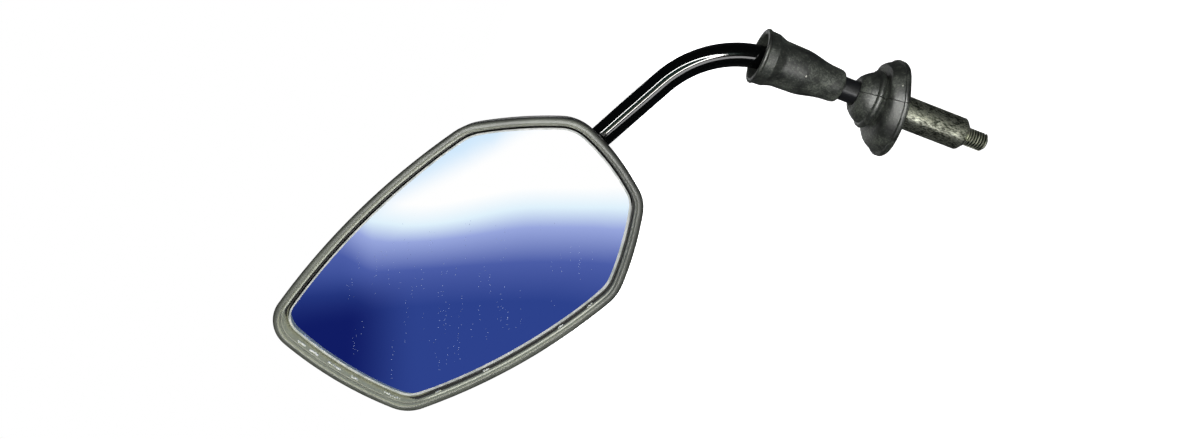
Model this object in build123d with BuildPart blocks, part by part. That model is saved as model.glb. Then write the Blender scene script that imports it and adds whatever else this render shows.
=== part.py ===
# Rear-view mirror for a two-wheeler: glass head on a ball joint, bent rod, mounting pin with a threaded end.
# Millimetres. Origin at the middle of the pin's shoulder face, Z up along the pin towards the stem.
# The stem bends in the XZ plane towards -X. The glass faces about -Y.
import os
from math import cos, radians, sin, sqrt, tan

from build123d import *

os.makedirs("parts", exist_ok=True)

# Fits
run_gap = 0.05
soft_gap = 0.10
swing_gap = 0.50

# Mounting pin and its threaded end
pin_d = 14.0
pin_len = 40.0
pin_chamfer = 2.2
pin_seat_d = 12.6
pin_seat_len = 5.4
stud_d = 8.0
stud_len = 9.8
stud_chamfer = 1.1
spigot_d = 8.0
spigot_len = 18.0
bore_spare = 0.6
edge = 0.5

# Adapter between the pin and the stem
neck_d = 10.0
neck_len = 35.5
hex_flats = 14.0
hex_h = 9.5
hex_edge = 1.0
tap_depth = 7.5
nut_h = 4.5

# Grommet: hub, dome and bell skirt, split along one side; heights from the skirt's edge
skirt_drop = 5.2
skirt_r = 19.9
skirt_lip = 1.9
skirt_shoulder_r = 16.6
skirt_shoulder_h = 6.6
dome_base_r = 12.4
dome_base_h = 9.1
dome_mid_r = 10.5
dome_mid_h = 13.9
dome_top_r = 7.6
grommet_h = 17.7
groove_depth = 0.7
skirt_wall = 2.3
relief_depth = 1.4
hub_r = 9.0
slit_w = 0.5
slit_turn = 13.0

# Boot over the lock nut; heights from its narrow end
boot_lift = 19.5
boot_len = 37.7
boot_tip_r = 5.9
boot_end_r = 7.25
boot_end_h = 4.1
boot_waist_r = 7.85
boot_waist_h = 9.3
boot_shoulder_h = 18.1
boot_body_h = 27.5
boot_collar_h = 32.1
boot_cone_len = 5.5
boot_body_r = 9.85
boot_collar_r = 11.4
boot_lip_r = 11.75
boot_cavity_r = 8.4
boot_mouth_r = 9.5

# Stem
stem_d = 10.0
stem_corner_h = 32.2
bend_r = 46.0
bend_deg = 62.0
stem_len = 90.0
stem_neck_d = 8.0
stem_neck_len = 8.5
stem_tip_d = 6.0

# Ball joint
ball_r = 7.5
ball_flat = 6.2
seat_r = 10.5
seat_half_h = 9.2
seat_split = 0.3
spring_t = 0.6
spring_rise = 0.3
spring_in_r = 5.5
spring_inset = 0.9
plate_t = 1.5
plate_r = 13.4
ear_r = 4.2
plate_hole_d = 6.0
screw_d = 4.0
screw_len = 11.0
screw_head_d = 7.2
screw_head_h = 2.0
cross_len = 4.0
cross_w = 0.9
cross_depth = 1.1
pan_front = 9.0
pan_back = 19.0
roll_side = 11.0

# Head: outline corners, bow of each side and corner radii, along and across the stem's end
head_turn = 5.0
corner_u = (124.5, 106.5, 7.5, -26.5, -28.5, 7.5)
corner_v = (-35.0, 32.0, 51.5, 29.0, -13.5, -41.5)
side_bow = (4.0, 5.0, 1.5, 2.5, 1.5, 5.5)
corner_r = (13.0, 17.0, 20.0, 15.0, 20.0, 22.0)
back_pivot_v = 3.0
rim_top = 26.0
rim_base = 14.0
rim_draft = 0.7
lip_w = 2.9
bead_r = 2.0
lip_edge_r = 0.7
step_w = 0.7
step_drop = 2.6
step_edge_r = 0.3
ledge_w = 5.4
ledge_top = 12.8
wall = 2.5
back_h = (5.0, -4.0, -10.5, -13.5)
back_share = (0.94, 0.80, 0.58, 0.30)
boss_r = 13.6
post_r = 4.0
rib_w = 1.8
rib_top = 4.0
rib_u = (8.0, 42.0, 76.0)

# Glass, foam pad and carrier
carrier_gap = 0.15
carrier_rim_w = 0.6
carrier_rim_drop = 1.2
carrier_t = 1.6
glass_gap = 0.15
glass_t = 2.0
glass_r = 1200.0
glass_top = 20.5
glass_mid_u = 47.0
glass_mid_v = 4.0
bevel_w = 1.2
bevel_drop = 0.6
pad_t = 0.8
pad_gap = 0.08
pad_inset = 5.0

# Derived places
pin_shoulder_z = pin_len - pin_seat_len
hex_base_z = pin_len + neck_len
hex_top_z = hex_base_z + hex_h
skirt_z = pin_len - skirt_drop
dome_base_z = skirt_z + dome_base_h
dome_top_z = skirt_z + grommet_h
boot_z = pin_len + boot_lift
boot_top_z = boot_z + boot_len
stem_corner_z = hex_top_z + stem_corner_h
bend_start_z = stem_corner_z - bend_r * tan(radians(bend_deg) / 2)
stem_dir = Vector(-sin(radians(bend_deg)), 0, cos(radians(bend_deg)))
stem_side = Vector(cos(radians(bend_deg)), 0, sin(radians(bend_deg)))
ball_mid = Vector(0, 0, stem_corner_z) + stem_dir * stem_len
face_dir = Vector(0, -cos(radians(head_turn)), 0) + stem_side * sin(radians(head_turn))
head = Plane(origin=ball_mid, x_dir=stem_dir, z_dir=face_dir)
rod = Plane(origin=ball_mid, x_dir=stem_dir, z_dir=(0, -1, 0))
carrier_r = glass_r - glass_t - pad_t - 2 * pad_gap
spring_out_r = seat_r - spring_inset
ear_ring_r = plate_r + ear_r
mouth_inset = lip_w + step_w
carrier_inset = mouth_inset + carrier_gap
glass_inset = carrier_inset + carrier_rim_w + glass_gap
head_span = 2 * max(corner_u)


def meet(one, two, near):
    """Crossing of two circles, each given as a centre and a radius, that lies nearest to a point."""
    line = two[0] - one[0]
    along = (line.length**2 + one[1] ** 2 - two[1] ** 2) / (2 * line.length)
    rise = sqrt(one[1] ** 2 - along**2)
    way = line.normalized()
    foot = one[0] + way * along
    side = Vector(-way.Y, way.X) * rise
    return min((foot + side, foot - side), key=lambda point: (point - near).length)


def outline(height, factor=1.0, inset=0.0):
    """Head outline on a plane parallel to the glass, shrunk about the ball and set in by a width."""
    points = []
    for u, v in zip(corner_u, corner_v):
        points.append(Vector(u * factor, back_pivot_v + (v - back_pivot_v) * factor))
    sides = []
    for i in range(6):
        chord = points[(i + 1) % 6] - points[i]
        bow = side_bow[i] * factor
        radius = (chord.length**2 / 4 + bow**2) / (2 * bow)
        outward = Vector(chord.Y, -chord.X).normalized()
        middle = (points[i] + points[(i + 1) % 6]) * 0.5 - outward * (radius - bow)
        sides.append((middle, radius - inset, outward))
    corners = [meet(sides[i - 1], sides[i], points[i]) for i in range(6)]
    with BuildSketch(head.offset(height)) as face:
        with BuildLine():
            for i in range(6):
                crown = sides[i][0] + sides[i][2] * sides[i][1]
                ThreePointArc(corners[i], crown, corners[(i + 1) % 6])
        make_face()
        for i in range(6):
            fillet(face.vertices().sort_by_distance(corners[i])[0], corner_r[i] * factor - inset)
    return face.sketch


def stem_swing(start, end, half_w, side_deg):
    """Solid that the stem sweeps through as the head pans and rolls, from the ball outwards."""
    faces = []
    for far in (start, end):
        up = half_w + far * tan(radians(pan_front))
        down = half_w + far * tan(radians(pan_back))
        across = half_w + far * tan(radians(side_deg))
        place = Plane(origin=head.from_local_coords((-far, 0, 0)), x_dir=head.y_dir, z_dir=head.x_dir)
        with BuildSketch(place) as face:
            with Locations((0, (up - down) / 2)):
                RectangleRounded(2 * across, up + down, 0.9 * half_w)
        faces.append(face.sketch)
    with BuildPart() as swing:
        loft(faces, ruled=True)
    return swing.part


# Mounting pin: turned steel bar, threaded end below, blind bore above
with BuildPart() as mount_pin:
    with BuildSketch(Plane.XZ):
        with BuildLine():
            Polyline(
                (0, -stud_len),
                (stud_d / 2 - stud_chamfer, -stud_len),
                (stud_d / 2, -stud_len + stud_chamfer),
                (stud_d / 2, 0),
                (pin_d / 2 - pin_chamfer, 0),
                (pin_d / 2, pin_chamfer),
                (pin_d / 2, pin_shoulder_z),
                (pin_seat_d / 2, pin_shoulder_z),
                (pin_seat_d / 2, pin_len - edge),
                (pin_seat_d / 2 - edge, pin_len),
                (spigot_d / 2 + run_gap, pin_len),
                (spigot_d / 2 + run_gap, pin_len - spigot_len - bore_spare),
                (0, pin_len - spigot_len - bore_spare - spigot_d / 4),
                (0, -stud_len),
            )
        make_face()
    revolve(axis=Axis.Z)
mount_pin.part.label = "mount_pin"
export_step(mount_pin.part, "parts/mount_pin.step")

# Adapter: hexagon with a tapped hole, neck, spigot pressed into the pin
with BuildPart() as adapter:
    with BuildSketch(Plane.XY.offset(pin_len - spigot_len)):
        Circle(spigot_d / 2)
    extrude(amount=spigot_len)
    with BuildSketch(Plane.XY.offset(pin_len)):
        Circle(neck_d / 2)
    extrude(amount=hex_base_z - pin_len)
    with BuildSketch(Plane.XY.offset(hex_base_z)):
        RegularPolygon(hex_flats / 2, 6, major_radius=False)
    extrude(amount=hex_top_z - hex_base_z)
    with BuildSketch(Plane.XZ):
        with BuildLine():
            Polyline(
                (0, pin_len - spigot_len),
                (hex_flats / 2, pin_len - spigot_len),
                (hex_flats / 2, hex_base_z),
                (hex_flats / 2 + 1.6 * hex_edge, hex_base_z + hex_edge),
                (hex_flats / 2 + 1.6 * hex_edge, hex_top_z - hex_edge),
                (hex_flats / 2, hex_top_z),
                (0, hex_top_z),
                (0, pin_len - spigot_len),
            )
        make_face()
    revolve(axis=Axis.Z, mode=Mode.INTERSECT)
    with BuildSketch(Plane.XY.offset(hex_top_z)):
        Circle(stem_d / 2 + run_gap)
    extrude(amount=-tap_depth, mode=Mode.SUBTRACT)
adapter.part.label = "adapter"
export_step(adapter.part, "parts/adapter.step")

# Grommet: moulded rubber, a dome over a bell skirt, slit from the bore to the edge
with BuildPart() as grommet:
    with BuildSketch(Plane.XZ):
        with BuildLine():
            Polyline(
                (neck_d / 2 + soft_gap, dome_top_z - 1.6 * edge),
                (neck_d / 2 + soft_gap, pin_len),
                (pin_seat_d / 2 + soft_gap, pin_len),
                (pin_seat_d / 2 + soft_gap, pin_shoulder_z),
                (hub_r, pin_shoulder_z),
                (hub_r + edge, skirt_z + relief_depth),
                (skirt_r - skirt_wall - edge, skirt_z + relief_depth),
                (skirt_r - skirt_wall, skirt_z),
                (skirt_r - edge, skirt_z),
                (skirt_r, skirt_z + edge),
                (skirt_r, skirt_z + skirt_lip),
                (skirt_r - 1.2 * edge, skirt_z + skirt_lip + 0.4 * edge),
            )
            Spline(
                (skirt_r - 1.2 * edge, skirt_z + skirt_lip + 0.4 * edge),
                (skirt_shoulder_r, skirt_z + skirt_shoulder_h),
                (dome_base_r - groove_depth, dome_base_z - 0.8 * edge),
                tangents=((-0.35, 1), (-1, 0.1)),
            )
            Polyline(
                (dome_base_r - groove_depth, dome_base_z - 0.8 * edge),
                (dome_base_r - groove_depth, dome_base_z + 0.4 * edge),
                (dome_base_r, dome_base_z + 1.2 * edge),
            )
            Spline(
                (dome_base_r, dome_base_z + 1.2 * edge),
                (dome_mid_r, skirt_z + dome_mid_h),
                (dome_top_r, dome_top_z - 1.2 * edge),
                (neck_d / 2 + soft_gap + 1.6 * edge, dome_top_z),
                tangents=((0, 1), (-1, 0)),
            )
            Line(
                (neck_d / 2 + soft_gap + 1.6 * edge, dome_top_z),
                (neck_d / 2 + soft_gap, dome_top_z - 1.6 * edge),
            )
        make_face()
    revolve(axis=Axis.Z)
    slit = Plane.XY.rotated((0, 0, slit_turn - 90)).offset(skirt_z - edge)
    with BuildSketch(slit):
        with Locations((skirt_r / 2 + edge, 0)):
            Rectangle(skirt_r + 2 * edge, slit_w)
    extrude(amount=grommet_h + 2 * edge, mode=Mode.SUBTRACT)
grommet.part.label = "grommet"
export_step(grommet.part, "parts/grommet.step")

# Boot: moulded rubber sleeve, narrow end on the neck, open mouth around the stem
with BuildPart() as boot:
    with BuildSketch(Plane.XZ):
        with BuildLine():
            Polyline(
                (neck_d / 2 + run_gap, boot_z + edge),
                (neck_d / 2 + run_gap, hex_base_z - boot_cone_len),
                (boot_cavity_r - 2 * edge, hex_base_z - 3 * edge),
                (boot_cavity_r, hex_base_z + 1.6 * edge),
                (boot_cavity_r, boot_z + boot_collar_h),
                (boot_mouth_r, boot_top_z - 1.2 * edge),
                (boot_mouth_r + 1.2 * edge, boot_top_z),
                (boot_lip_r - 1.4 * edge, boot_top_z),
            )
            RadiusArc(
                (boot_lip_r - 1.4 * edge, boot_top_z),
                (boot_lip_r - 0.4 * edge, boot_top_z - 3 * edge),
                1.7 * edge,
            )
            Polyline(
                (boot_lip_r - 0.4 * edge, boot_top_z - 3 * edge),
                (boot_collar_r, boot_top_z - 3.6 * edge),
                (boot_collar_r - 0.4 * edge, boot_z + boot_collar_h),
            )
            Spline(
                (boot_collar_r - 0.4 * edge, boot_z + boot_collar_h),
                (boot_body_r + edge, boot_z + (boot_collar_h + boot_body_h) / 2),
                (boot_body_r, boot_z + boot_body_h),
                tangents=((-0.5, -1), (0, -1)),
            )
            Line((boot_body_r, boot_z + boot_body_h), (boot_body_r - 0.6 * edge, boot_z + boot_shoulder_h))
            Spline(
                (boot_body_r - 0.6 * edge, boot_z + boot_shoulder_h),
                (boot_waist_r, boot_z + boot_waist_h),
                (boot_end_r, boot_z + boot_end_h),
                (boot_tip_r, boot_z),
                tangents=((-0.1, -1), (-1, -0.2)),
            )
            Line((boot_tip_r, boot_z), (neck_d / 2 + run_gap, boot_z + edge))
        make_face()
    revolve(axis=Axis.Z)
boot.part.label = "boot"
export_step(boot.part, "parts/boot.step")

# Lock nut: thin hexagon nut that jams the stem's thread against the adapter
with BuildPart() as lock_nut:
    with BuildSketch(Plane.XY.offset(hex_top_z)):
        RegularPolygon(hex_flats / 2, 6, major_radius=False, rotation=21)
        Circle(stem_d / 2 + run_gap, mode=Mode.SUBTRACT)
    extrude(amount=nut_h)
    with BuildSketch(Plane.XZ):
        with BuildLine():
            Polyline(
                (stem_d / 2, hex_top_z),
                (hex_flats / 2, hex_top_z),
                (hex_flats / 2 + 1.6 * hex_edge, hex_top_z + hex_edge),
                (hex_flats / 2 + 1.6 * hex_edge, hex_top_z + nut_h - hex_edge),
                (hex_flats / 2, hex_top_z + nut_h),
                (stem_d / 2, hex_top_z + nut_h),
                (stem_d / 2, hex_top_z),
            )
        make_face()
    revolve(axis=Axis.Z, mode=Mode.INTERSECT)
lock_nut.part.label = "lock_nut"
export_step(lock_nut.part, "parts/lock_nut.step")

# Stem: bent round bar, threaded end below, turned neck and tip for the ball above
with BuildPart() as stem:
    tap_floor = hex_top_z - tap_depth + edge
    neck_from = stem_len - ball_flat - stem_neck_len
    with BuildLine(Plane.XZ):
        leg = Line((0, tap_floor), (0, bend_start_z))
        bend = JernArc(leg @ 1, (0, 1), bend_r, bend_deg)
        run = neck_from - bend_r * tan(radians(bend_deg) / 2)
        PolarLine(bend @ 1, run, direction=bend % 1)
    with BuildSketch(Plane.XY.offset(tap_floor)):
        Circle(stem_d / 2)
    sweep()
    chamfer(stem.faces().sort_by(Axis.Z)[0].edges(), 1.8 * edge)
    with BuildSketch(rod):
        with BuildLine():
            Polyline(
                (-ball_flat - stem_neck_len, 0),
                (-ball_flat - stem_neck_len, stem_d / 2),
                (-ball_flat - stem_neck_len + 2 * edge, stem_neck_d / 2),
                (-ball_flat, stem_neck_d / 2),
                (-ball_flat, stem_tip_d / 2),
                (ball_flat - edge, stem_tip_d / 2),
                (ball_flat, stem_tip_d / 2 - edge),
                (ball_flat, 0),
                (-ball_flat - stem_neck_len, 0),
            )
        make_face()
    revolve(axis=Axis(ball_mid, stem_dir))
stem.part.label = "stem"
export_step(stem.part, "parts/stem.step")

# Ball: bored steel ball on the stem's tip, flats on both ends
with BuildPart() as ball:
    with BuildSketch(rod):
        Circle(ball_r)
        Rectangle(2 * ball_flat, 2 * ball_r, mode=Mode.INTERSECT)
        with Locations((0, -ball_r)):
            Rectangle(2 * ball_r, 2 * (ball_r + stem_tip_d / 2 + run_gap), mode=Mode.SUBTRACT)
    revolve(axis=Axis(ball_mid, stem_dir))
ball.part.label = "ball"
export_step(ball.part, "parts/ball.step")

# Ball seats: two moulded cups, split on the ball's middle, notched for the stem
seat_notch = stem_swing(ball_flat / 2, 1.2 * seat_r, stem_neck_d / 2 + swing_gap, 0.0)
with BuildPart() as ball_seat_rear:
    with BuildSketch(head.offset(-seat_half_h)):
        Circle(seat_r)
    extrude(amount=seat_half_h - seat_split / 2)
    with Locations(ball_mid):
        Sphere(ball_r + run_gap, mode=Mode.SUBTRACT)
    add(seat_notch, mode=Mode.SUBTRACT)
ball_seat_rear.part.label = "ball_seat_rear"
export_step(ball_seat_rear.part, "parts/ball_seat_rear.step")

with BuildPart() as ball_seat_front:
    with BuildSketch(head.offset(seat_split / 2)):
        Circle(seat_r)
    extrude(amount=seat_half_h - seat_split / 2)
    with Locations(ball_mid):
        Sphere(ball_r + run_gap, mode=Mode.SUBTRACT)
    add(seat_notch, mode=Mode.SUBTRACT)
ball_seat_front.part.label = "ball_seat_front"
export_step(ball_seat_front.part, "parts/ball_seat_front.step")

# Disc spring: keeps the cups pressed on the ball
spring_base = seat_half_h + run_gap
plate_base = spring_base + spring_t + spring_rise
across = Plane(origin=ball_mid, x_dir=head.x_dir, z_dir=-head.y_dir)
with BuildPart() as disc_spring:
    with BuildSketch(across):
        with BuildLine():
            Polyline(
                (spring_out_r, spring_base),
                (spring_out_r, spring_base + spring_t),
                (spring_in_r, plate_base),
                (spring_in_r, spring_base + spring_rise),
                (spring_out_r, spring_base),
            )
        make_face()
    revolve(axis=Axis(ball_mid, face_dir))
disc_spring.part.label = "disc_spring"
export_step(disc_spring.part, "parts/disc_spring.step")

# Clamp plate: pressed steel disc with three ears
with BuildPart() as clamp_plate:
    with BuildSketch(head.offset(plate_base)):
        Circle(plate_r)
        with PolarLocations(ear_ring_r, 3):
            Circle(ear_r)
        with PolarLocations(ear_ring_r - ear_r, 3):
            Rectangle(2 * ear_r, 2 * ear_r)
        with PolarLocations(ear_ring_r, 3):
            Circle(screw_d / 2 + swing_gap / 2, mode=Mode.SUBTRACT)
        Circle(plate_hole_d / 2, mode=Mode.SUBTRACT)
    extrude(amount=plate_t)
clamp_plate.part.label = "clamp_plate"
export_step(clamp_plate.part, "parts/clamp_plate.step")

# Clamp screws: three pan-head screws, one group
with BuildPart() as clamp_screws:
    with BuildSketch(head.offset(plate_base + plate_t)):
        with PolarLocations(ear_ring_r, 3):
            Circle(screw_head_d / 2)
    extrude(amount=screw_head_h)
    fillet(clamp_screws.edges().group_by(Axis(ball_mid, face_dir))[-1], 0.4 * screw_head_h)
    with BuildSketch(head.offset(plate_base + plate_t)):
        with PolarLocations(ear_ring_r, 3):
            Circle(screw_d / 2)
    extrude(amount=-screw_len)
    with BuildSketch(head.offset(plate_base + plate_t + screw_head_h)):
        with PolarLocations(ear_ring_r, 3):
            Rectangle(cross_len, cross_w)
            Rectangle(cross_w, cross_len)
    extrude(amount=-cross_depth, mode=Mode.SUBTRACT)
clamp_screws.part.label = "clamp_screws"
export_step(clamp_screws.part, "parts/clamp_screws.step")

# Housing cavity: the hollow less the ball boss, the screw posts and the ribs
with BuildPart() as cavity:
    hollow = [outline(ledge_top, 1.0, ledge_w)]
    for height, share in zip(back_h[:-1], back_share[:-1]):
        hollow.append(outline(height + 0.6 * wall * (1 - share), share, wall))
    hollow.append(outline(back_h[-1] + wall, back_share[-1], wall))
    loft(hollow)
    floor = head.offset(1.5 * back_h[-1])
    with BuildSketch(floor):
        Circle(boss_r)
    extrude(amount=seat_half_h - run_gap - 1.5 * back_h[-1], mode=Mode.SUBTRACT)
    with BuildSketch(floor):
        with PolarLocations(ear_ring_r, 3):
            Circle(post_r)
    extrude(amount=plate_base - 1.5 * back_h[-1], mode=Mode.SUBTRACT)
    with BuildSketch(floor):
        with Locations((head_span / 4, back_pivot_v)):
            Rectangle(head_span / 2, rib_w)
        with Locations(*[(u, 0) for u in rib_u]):
            Rectangle(rib_w, head_span)
    extrude(amount=rib_top - 1.5 * back_h[-1], mode=Mode.SUBTRACT)

# Housing: moulded shell with a rounded and stepped lip, a ledge for the carrier and an opening for the stem
with BuildPart() as housing:
    shell = [outline(rim_base, 1.0, rim_draft)]
    for height, share in zip(back_h, back_share):
        shell.append(outline(height, share))
    loft(shell)
    loft([outline(rim_base, 1.0, rim_draft), outline(rim_top)], ruled=True)
    extrude(outline(ledge_top, 1.0, mouth_inset), amount=rim_top, dir=face_dir, mode=Mode.SUBTRACT)
    extrude(outline(rim_top - step_drop, 1.0, lip_w), amount=rim_top, dir=face_dir, mode=Mode.SUBTRACT)
    rim_face = housing.faces().sort_by(Axis(ball_mid, face_dir))[-1]
    fillet(rim_face.outer_wire().edges(), bead_r)
    rim_face = housing.faces().sort_by(Axis(ball_mid, face_dir))[-1]
    fillet(rim_face.inner_wires()[0].edges(), lip_edge_r)
    step_face = housing.faces().filter_by(head).sort_by(Axis(ball_mid, face_dir))[-2]
    fillet(step_face.inner_wires()[0].edges(), step_edge_r)
    add(cavity.part, mode=Mode.SUBTRACT)
    with BuildSketch(head.offset(-seat_half_h - run_gap)):
        Circle(seat_r + run_gap)
    extrude(amount=3 * seat_half_h, mode=Mode.SUBTRACT)
    with BuildSketch(head.offset(plate_base)):
        with PolarLocations(ear_ring_r, 3):
            Circle(screw_d / 2 + run_gap)
    extrude(amount=-screw_len - bore_spare, mode=Mode.SUBTRACT)
    add(stem_swing(ball_r, -1.5 * min(corner_u), stem_d / 2 + swing_gap, roll_side), mode=Mode.SUBTRACT)
housing.part.label = "housing"
export_step(housing.part, "parts/housing.step")

# Curved sheets: the carrier, the pad and the glass share one centre
sphere_mid = head.from_local_coords((glass_mid_u, glass_mid_v, glass_top - glass_r))
sphere_place = Plane(origin=sphere_mid, x_dir=head.x_dir, z_dir=head.y_dir)

# Glass carrier: moulded tray with a thin upright rim that ends below the glass face
with BuildPart() as glass_carrier:
    extrude(outline(ledge_top, 1.0, carrier_inset + edge), amount=rim_top - ledge_top, dir=face_dir)
    with Locations(sphere_place):
        Sphere(carrier_r, mode=Mode.INTERSECT)
        Sphere(carrier_r - carrier_t, mode=Mode.SUBTRACT)
    rim_outer = outline(ledge_top, 1.0, carrier_inset)
    rim_inner = outline(ledge_top, 1.0, carrier_inset + carrier_rim_w)
    extrude(rim_outer - rim_inner, amount=glass_top - ledge_top, dir=face_dir)
    with Locations(sphere_place):
        Sphere(glass_r - carrier_rim_drop, mode=Mode.INTERSECT)
glass_carrier.part.label = "glass_carrier"
export_step(glass_carrier.part, "parts/glass_carrier.step")

# Glass pad: foam sheet with adhesive on both sides
with BuildPart() as glass_pad:
    extrude(outline(ledge_top, 1.0, glass_inset + pad_inset), amount=rim_top - ledge_top, dir=face_dir)
    with Locations(sphere_place):
        Sphere(glass_r - glass_t - pad_gap, mode=Mode.INTERSECT)
        Sphere(glass_r - glass_t - pad_gap - pad_t, mode=Mode.SUBTRACT)
glass_pad.part.label = "glass_pad"
export_step(glass_pad.part, "parts/glass_pad.step")

# Glass: bent sheet, its front edge ground to a bevel
with BuildPart() as glass:
    extrude(outline(ledge_top, 1.0, glass_inset), amount=rim_top - ledge_top, dir=face_dir)
    with Locations(sphere_place):
        Sphere(glass_r, mode=Mode.INTERSECT)
        Sphere(glass_r - glass_t, mode=Mode.SUBTRACT)
    front = glass.faces().sort_by(Axis(ball_mid, face_dir))[-1]
    chamfer(front.edges(), bevel_w, bevel_drop, reference=front)
glass.part.label = "glass"
export_step(glass.part, "parts/glass.step")
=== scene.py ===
import math

import bmesh
import bpy
import numpy as np
from mathutils import Matrix, Vector


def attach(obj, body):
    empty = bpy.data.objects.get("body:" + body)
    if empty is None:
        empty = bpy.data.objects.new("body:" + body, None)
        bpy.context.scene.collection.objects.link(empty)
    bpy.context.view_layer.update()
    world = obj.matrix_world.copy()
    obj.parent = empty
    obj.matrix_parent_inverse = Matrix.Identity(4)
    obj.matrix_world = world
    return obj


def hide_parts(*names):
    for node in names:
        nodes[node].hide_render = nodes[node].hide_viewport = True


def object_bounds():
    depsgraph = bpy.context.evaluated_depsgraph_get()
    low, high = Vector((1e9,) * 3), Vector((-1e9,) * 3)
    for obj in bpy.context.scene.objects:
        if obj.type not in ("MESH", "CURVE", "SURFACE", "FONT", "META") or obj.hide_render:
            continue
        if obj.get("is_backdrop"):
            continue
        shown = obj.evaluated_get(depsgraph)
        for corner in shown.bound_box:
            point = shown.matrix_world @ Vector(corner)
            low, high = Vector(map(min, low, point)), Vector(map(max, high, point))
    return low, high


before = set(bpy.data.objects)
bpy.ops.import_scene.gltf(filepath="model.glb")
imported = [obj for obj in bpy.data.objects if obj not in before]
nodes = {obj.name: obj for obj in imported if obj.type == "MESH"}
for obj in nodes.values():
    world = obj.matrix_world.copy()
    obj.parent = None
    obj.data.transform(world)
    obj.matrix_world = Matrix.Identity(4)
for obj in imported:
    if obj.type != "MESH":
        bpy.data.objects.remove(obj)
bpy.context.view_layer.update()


# Mounting pin
# Turned steel bar with a rolled M8 thread under its shoulder, zinc plated and since dulled by weather.
# Its blind bore is pressed over the adapter's spigot, and everything else hangs on it.
PIN_R = 0.0070
PIN_TOP = 0.0400
PIN_CHAMFER = 0.0022
PIN_SEAT_R = 0.0063
PIN_SHOULDER = 0.0346
PIN_BORE_R = 0.00405
PIN_BORE_FLOOR = 0.0214
PIN_BORE_CONE = 0.0020
PIN_EASE = 0.0002
PIN_STEPS = 128
STUD_TIP = -0.0098
END_CHAMFER = 0.0005
STUD_FROM = -0.0006
RUNOUT_LOW = -0.0011
RUNOUT_HIGH = -0.0004
RUNOUT_STEP = 0.0003
THREAD_CREST_R = 0.0040
THREAD_ROOT_R = 0.00323
THREAD_PITCH = 0.00125
THREAD_TURNS = 6.5
THREAD_STEPS = 72
THREAD_LEAD = 0.0008
THREAD_SINK = 0.00002
RIDGE_FOOT = 0.88
RIDGE_CREST = 0.15
ROOT_GRIME_SHADE_R = 0.00343
CREST_RUBBED_HIGHLIGHT_R = 0.0039
WORN_FROM_R = 0.0044
WORN_FULL = 0.0003
WORN_NONE = 0.0009
SHARP = math.radians(25)
RGBA = {"data_type": "RGBA"}
ZINC_BRIGHT = "#e2e4d0"
ZINC_DULL = "#34372f"
ZINC_WORN = "#efefe6"
THREAD_ROOT_GRIME_AND_SHADE = "#10120c"
THREAD_CREST_RUBBED_AND_HIGHLIGHT = "#b9bba9"


def put(name, data):
    """A new object in the scene."""
    made = bpy.data.objects.new(name, data)
    bpy.context.scene.collection.objects.link(made)
    return made


def put_mesh(name, points, edges, faces):
    """A new object with a mesh of its own."""
    mesh = bpy.data.meshes.new(name)
    mesh.from_pydata(points, edges, faces)
    return put(name, mesh)


def lathe(name, profile, steps):
    """Solid turned about Z from (radius, height) points whose first and last lie on the axis."""
    turns = np.linspace(0.0, 2.0 * math.pi, steps, endpoint=False)
    points = [(0.0, 0.0, profile[0][1])]
    for radius, height in profile[1:-1]:
        for turn in turns:
            points.append((radius * math.cos(turn), radius * math.sin(turn), height))
    points.append((0.0, 0.0, profile[-1][1]))
    faces = []
    rings = len(profile) - 2
    for i in range(steps):
        j = (i + 1) % steps
        faces.append((0, 1 + j, 1 + i))
        for ring in range(rings - 1):
            low, high = 1 + ring * steps, 1 + (ring + 1) * steps
            faces.append((low + i, low + j, high + j, high + i))
        top = 1 + (rings - 1) * steps
        faces.append((top + i, top + j, len(points) - 1))
    made = put_mesh(name, points, [], faces)
    made.data.shade_smooth()
    made.data.set_sharp_from_angle(angle=SHARP)
    return made


def colour(code):
    """Linear colour with alpha from an sRGB hex code."""
    parts = [int(code[i : i + 2], 16) / 255 for i in (1, 3, 5)]
    return [p / 12.92 if p <= 0.04045 else ((p + 0.055) / 1.055) ** 2.4 for p in parts] + [1.0]


def feed(made, inputs):
    """Sets or links a node's inputs by socket name or number.

    A node stands for its first open output, and a text for the colour with that code.
    """
    for key, value in inputs.items():
        if isinstance(value, bpy.types.Node):
            value = next(socket for socket in value.outputs if socket.enabled)
        elif isinstance(value, str):
            value = colour(value)
        if isinstance(value, bpy.types.NodeSocket):
            made.id_data.links.new(value, made.inputs[key])
        else:
            made.inputs[key].default_value = value


def node(tree, kind, inputs=None, **settings):
    """Adds a node, sets its properties and feeds its inputs."""
    made = tree.nodes.new(kind)
    for key, value in settings.items():
        setattr(made, key, value)
    feed(made, inputs or {})
    return made


def material(name):
    """A new material, its tree and its shader node."""
    made = bpy.data.materials.new(name)
    made.use_nodes = True
    return made, made.node_tree, made.node_tree.nodes["Principled BSDF"]


def surface(name):
    """A new material, its tree, its shader node and the place that its patterns follow."""
    made, tree, shader = material(name)
    return made, tree, shader, node(tree, "ShaderNodeTexCoord").outputs["Object"]


def geometry_tree(name, **kinds):
    """A new geometry tree with its inputs, each given with the kind of its socket."""
    tree = bpy.data.node_groups.new(name, "GeometryNodeTree")
    tree.interface.new_socket("Geometry", in_out="OUTPUT", socket_type="NodeSocketGeometry")
    for key, kind in {"Geometry": "Geometry", **kinds, "Material": "Material"}.items():
        tree.interface.new_socket(key, in_out="INPUT", socket_type="NodeSocket" + kind)
    return tree, node(tree, "NodeGroupInput").outputs


def close_tree(tree, given, shape):
    """Ends a geometry tree with one plain mesh in the given material."""
    real = node(tree, "GeometryNodeRealizeInstances", {0: shape})
    dressed = node(tree, "GeometryNodeSetMaterial", {"Geometry": real, "Material": given["Material"]})
    node(tree, "NodeGroupOutput", {0: dressed})


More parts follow.
